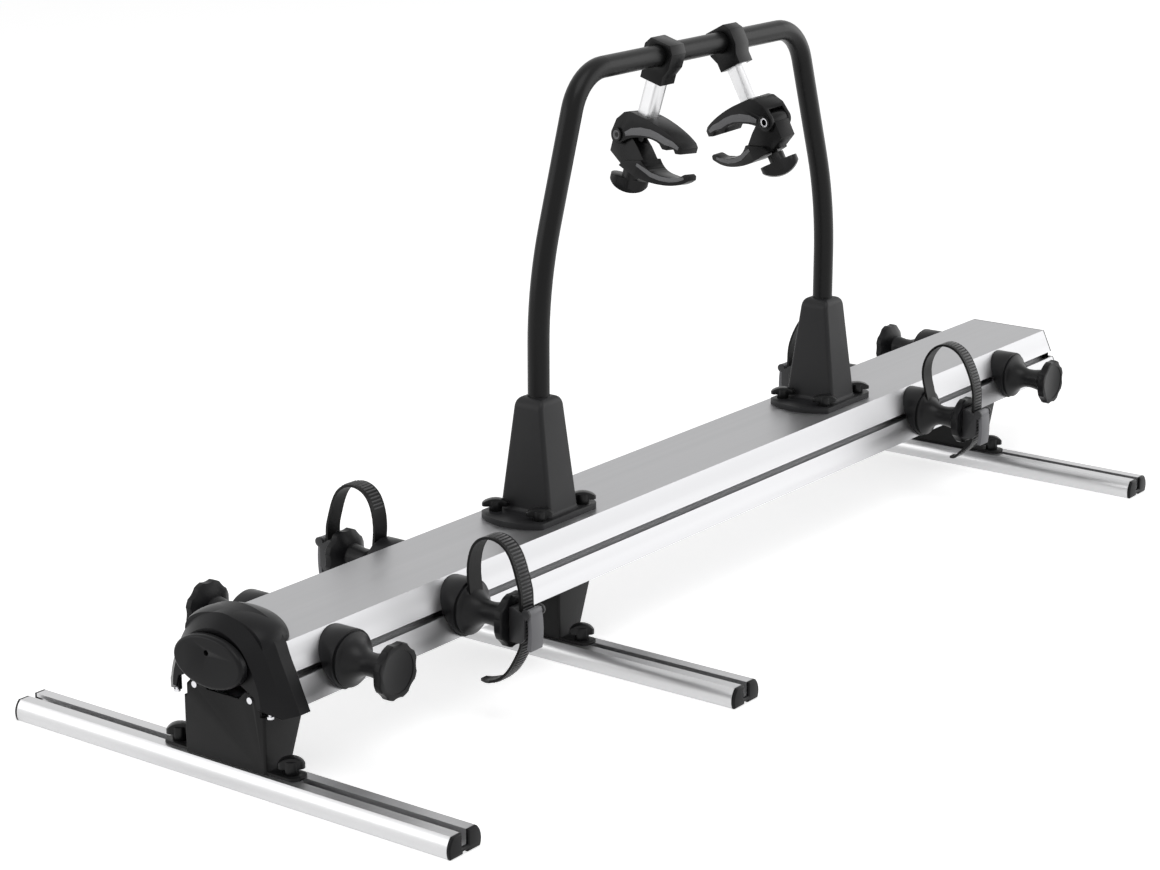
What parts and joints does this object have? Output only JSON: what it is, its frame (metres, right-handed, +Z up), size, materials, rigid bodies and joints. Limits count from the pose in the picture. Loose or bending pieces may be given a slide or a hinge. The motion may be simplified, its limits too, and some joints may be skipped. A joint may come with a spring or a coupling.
{
  "type": "slide-out bicycle carrier",
  "caption": "Slide-out bicycle carrier: an aluminium beam on floor rails and steel feet, with a black hoop, frame claws, wheel spools and ratchet straps.",
  "frame": {"origin": "on the floor under the middle of the carrier's length and width", "axes": "+X along the beam from the release handle to the far end, +Z up; the beam slides out towards -X"},
  "size_m": [1.6484, 0.6, 0.6696],
  "materials": {
    "anodised_aluminium": "satin anodised",
    "tube_aluminium": "bright drawn",
    "black_steel": "satin powder coat",
    "zinc_steel": "bright zinc plated",
    "black_plastic": "fine grain, satin",
    "claw_plastic": "satin",
    "strap_plastic": "satin",
    "lever_plastic": "satin",
    "roller_plastic": "smooth nylon"
  },
  "bodies": {
    "floor_frame": {"front_floor_rail": "anodised_aluminium", "middle_floor_rail": "anodised_aluminium", "rear_floor_rail": "anodised_aluminium", "rail_end_caps": "black_plastic", "front_foot": "black_steel", "middle_foot": "black_steel", "rear_foot": "black_steel", "foot_t_bolts": "zinc_steel", "inner_rail": "anodised_aluminium", "inner_rail_fasteners": "zinc_steel", "front_roller_axle": "zinc_steel"},
    "front_roller_set": {"front_rollers": "roller_plastic"},
    "carriage": {"beam": "anodised_aluminium", "far_end_cap": "black_plastic", "housing": "black_plastic", "housing_fasteners": "zinc_steel", "rear_axles": "zinc_steel", "hoop": "black_steel", "front_pedestal": "black_plastic", "rear_pedestal": "black_plastic", "pedestal_bolts": "zinc_steel", "pedestal_knobs": "black_plastic", "spool_collars": "black_plastic", "spool_cones": "black_plastic", "spool_bolts": "zinc_steel", "straps": "strap_plastic", "buckle_bodies": "black_plastic"},
    "rear_roller_set": {"rear_rollers": "roller_plastic"},
    "release": {"release_handle": "black_plastic", "latch_hook": "zinc_steel"},
    "front_arm_clamp": {"front_clamp": "claw_plastic"},
    "front_claw_body": {"front_tube": "tube_aluminium", "front_claw": "claw_plastic", "front_jaw_pin": "zinc_steel"},
    "front_jaw_body": {"front_jaw": "claw_plastic"},
    "front_knob_body": {"front_jaw_knob": "claw_plastic"},
    "rear_arm_clamp": {"rear_clamp": "claw_plastic"},
    "rear_claw_body": {"rear_tube": "tube_aluminium", "rear_claw": "claw_plastic", "rear_jaw_pin": "zinc_steel"},
    "rear_jaw_body": {"rear_jaw": "claw_plastic"},
    "rear_knob_body": {"rear_jaw_knob": "claw_plastic"},
    "spool_knob_right_a_body": {"spool_knob_right_a": "black_plastic"},
    "spool_knob_right_b_body": {"spool_knob_right_b": "black_plastic"},
    "spool_knob_right_c_body": {"spool_knob_right_c": "black_plastic"},
    "spool_knob_right_d_body": {"spool_knob_right_d": "black_plastic"},
    "buckle_lever_right_b_body": {"buckle_lever_right_b": "lever_plastic"},
    "buckle_lever_right_c_body": {"buckle_lever_right_c": "lever_plastic"},
    "spool_knob_left_a_body": {"spool_knob_left_a": "black_plastic"},
    "spool_knob_left_b_body": {"spool_knob_left_b": "black_plastic"},
    "spool_knob_left_c_body": {"spool_knob_left_c": "black_plastic"},
    "spool_knob_left_d_body": {"spool_knob_left_d": "black_plastic"},
    "buckle_lever_left_b_body": {"buckle_lever_left_b": "lever_plastic"},
    "buckle_lever_left_c_body": {"buckle_lever_left_c": "lever_plastic"},
    "front_foot_knob_right_body": {"front_foot_knob_right": "black_plastic"},
    "front_foot_knob_left_body": {"front_foot_knob_left": "black_plastic"},
    "middle_foot_knob_right_body": {"middle_foot_knob_right": "black_plastic"},
    "middle_foot_knob_left_body": {"middle_foot_knob_left": "black_plastic"},
    "rear_foot_knob_right_body": {"rear_foot_knob_right": "black_plastic"},
    "rear_foot_knob_left_body": {"rear_foot_knob_left": "black_plastic"}
  },
  "joints": [
    {"name": "carriage_slide", "type": "slide", "parent": "floor_frame", "child": "carriage", "axis": [-1, 0, 0], "range_m": [0, 1]},
    {"name": "front_roller_spin", "type": "hinge", "parent": "floor_frame", "child": "front_roller_set", "pos_m": [-0.75825, 0, 0.0991], "axis": [0, 1, 0], "continuous": true},
    {"name": "rear_roller_spin", "type": "hinge", "parent": "carriage", "child": "rear_roller_set", "pos_m": [0.79775, 0, 0.122], "axis": [0, 1, 0], "continuous": true},
    {"name": "release_hinge", "type": "hinge", "parent": "carriage", "child": "release", "pos_m": [-0.80225, 0, 0.158], "axis": [0, 1, 0], "range_deg": [0, 18], "stiffness_Nm_per_rad": 0.6},
    {"name": "front_arm_swing", "type": "hinge", "parent": "carriage", "child": "front_arm_clamp", "pos_m": [-0.04325, 0, 0.648], "axis": [1, 0, 0], "range_deg": [-60, 60]},
    {"name": "front_claw_swivel", "type": "hinge", "parent": "front_arm_clamp", "child": "front_claw_body", "pos_m": [-0.04325, 0.00926, 0.61695], "axis": [0, -0.2857, 0.9583], "range_deg": [-45, 45]},
    {"name": "front_jaw_hinge", "type": "hinge", "parent": "front_claw_body", "child": "front_jaw_body", "pos_m": [-0.03869, 0.05397, 0.54908], "axis": [-0.9816, 0.1829, 0.0545], "range_deg": [-15, 12]},
    {"name": "front_jaw_knob_turn", "type": "hinge", "parent": "front_jaw_body", "child": "front_knob_body", "pos_m": [-0.04269, 0.04717, 0.4999], "axis": [0, -0.2857, 0.9583], "range_deg": [-510, 410]},
    {"name": "rear_arm_swing", "type": "hinge", "parent": "carriage", "child": "rear_arm_clamp", "pos_m": [0.08575, 0, 0.648], "axis": [1, 0, 0], "range_deg": [-60, 60]},
    {"name": "rear_claw_swivel", "type": "hinge", "parent": "rear_arm_clamp", "child": "rear_claw_body", "pos_m": [0.08575, -0.01546, 0.61953], "axis": [0, 0.4772, 0.8788], "range_deg": [-45, 45]},
    {"name": "rear_jaw_hinge", "type": "hinge", "parent": "rear_claw_body", "child": "rear_jaw_body", "pos_m": [0.08119, -0.07321, 0.56233], "axis": [0.9816, -0.1677, 0.091], "range_deg": [-15, 12]},
    {"name": "rear_jaw_knob_turn", "type": "hinge", "parent": "rear_jaw_body", "child": "rear_knob_body", "pos_m": [0.08519, -0.0767, 0.51282], "axis": [0, 0.4772, 0.8788], "range_deg": [-510, 410]},
    {"name": "spool_knob_right_a_turn", "type": "hinge", "parent": "carriage", "child": "spool_knob_right_a_body", "pos_m": [-0.70225, -0.137, 0.1229], "axis": [0, -1, 0], "range_deg": [0, 540]},
    {"name": "spool_knob_right_b_turn", "type": "hinge", "parent": "carriage", "child": "spool_knob_right_b_body", "pos_m": [-0.51025, -0.137, 0.1229], "axis": [0, -1, 0], "range_deg": [0, 540]},
    {"name": "spool_knob_right_c_turn", "type": "hinge", "parent": "carriage", "child": "spool_knob_right_c_body", "pos_m": [0.44675, -0.137, 0.1229], "axis": [0, -1, 0], "range_deg": [0, 540]},
    {"name": "spool_knob_right_d_turn", "type": "hinge", "parent": "carriage", "child": "spool_knob_right_d_body", "pos_m": [0.68375, -0.137, 0.1229], "axis": [0, -1, 0], "range_deg": [0, 540]},
    {"name": "buckle_lever_right_b_hinge", "type": "hinge", "parent": "carriage", "child": "buckle_lever_right_b_body", "pos_m": [-0.51025, -0.1675, 0.136], "axis": [-1, 0, 0], "range_deg": [0, 60], "stiffness_Nm_per_rad": 0.05},
    {"name": "buckle_lever_right_c_hinge", "type": "hinge", "parent": "carriage", "child": "buckle_lever_right_c_body", "pos_m": [0.44675, -0.1675, 0.136], "axis": [-1, 0, 0], "range_deg": [0, 60], "stiffness_Nm_per_rad": 0.05},
    {"name": "spool_knob_left_a_turn", "type": "hinge", "parent": "carriage", "child": "spool_knob_left_a_body", "pos_m": [-0.67625, 0.137, 0.1229], "axis": [0, 1, 0], "range_deg": [0, 540]},
    {"name": "spool_knob_left_b_turn", "type": "hinge", "parent": "carriage", "child": "spool_knob_left_b_body", "pos_m": [-0.45625, 0.137, 0.1229], "axis": [0, 1, 0], "range_deg": [0, 540]},
    {"name": "spool_knob_left_c_turn", "type": "hinge", "parent": "carriage", "child": "spool_knob_left_c_body", "pos_m": [0.49675, 0.137, 0.1229], "axis": [0, 1, 0], "range_deg": [0, 540]},
    {"name": "spool_knob_left_d_turn", "type": "hinge", "parent": "carriage", "child": "spool_knob_left_d_body", "pos_m": [0.72875, 0.137, 0.1229], "axis": [0, 1, 0], "range_deg": [0, 540]},
    {"name": "buckle_lever_left_b_hinge", "type": "hinge", "parent": "carriage", "child": "buckle_lever_left_b_body", "pos_m": [-0.45625, 0.1675, 0.136], "axis": [1, 0, 0], "range_deg": [0, 60], "stiffness_Nm_per_rad": 0.05},
    {"name": "buckle_lever_left_c_hinge", "type": "hinge", "parent": "carriage", "child": "buckle_lever_left_c_body", "pos_m": [0.49675, 0.1675, 0.136], "axis": [1, 0, 0], "range_deg": [0, 60], "stiffness_Nm_per_rad": 0.05},
    {"name": "front_foot_knob_right_turn", "type": "hinge", "parent": "floor_frame", "child": "front_foot_knob_right_body", "pos_m": [-0.78825, -0.077, 0.035], "axis": [0, 0, 1], "range_deg": [0, 540]},
    {"name": "front_foot_knob_left_turn", "type": "hinge", "parent": "floor_frame", "child": "front_foot_knob_left_body", "pos_m": [-0.78825, 0.077, 0.035], "axis": [0, 0, 1], "range_deg": [0, 540]},
    {"name": "middle_foot_knob_right_turn", "type": "hinge", "parent": "floor_frame", "child": "middle_foot_knob_right_body", "pos_m": [-0.30425, -0.077, 0.035], "axis": [0, 0, 1], "range_deg": [0, 540]},
    {"name": "middle_foot_knob_left_turn", "type": "hinge", "parent": "floor_frame", "child": "middle_foot_knob_left_body", "pos_m": [-0.30425, 0.077, 0.035], "axis": [0, 0, 1], "range_deg": [0, 540]},
    {"name": "rear_foot_knob_right_turn", "type": "hinge", "parent": "floor_frame", "child": "rear_foot_knob_right_body", "pos_m": [0.64375, -0.077, 0.035], "axis": [0, 0, 1], "range_deg": [0, 540]},
    {"name": "rear_foot_knob_left_turn", "type": "hinge", "parent": "floor_frame", "child": "rear_foot_knob_left_body", "pos_m": [0.64375, 0.077, 0.035], "axis": [0, 0, 1], "range_deg": [0, 540]}
  ],
  "couplings": [
    {"joint": "front_roller_spin", "follows": "carriage_slide", "rad_per_m": -76.923},
    {"joint": "rear_roller_spin", "follows": "carriage_slide", "rad_per_m": -68.027},
    {"joint": "front_jaw_knob_turn", "follows": "front_jaw_hinge", "ratio": 33},
    {"joint": "rear_jaw_knob_turn", "follows": "rear_jaw_hinge", "ratio": 33}
  ]
}
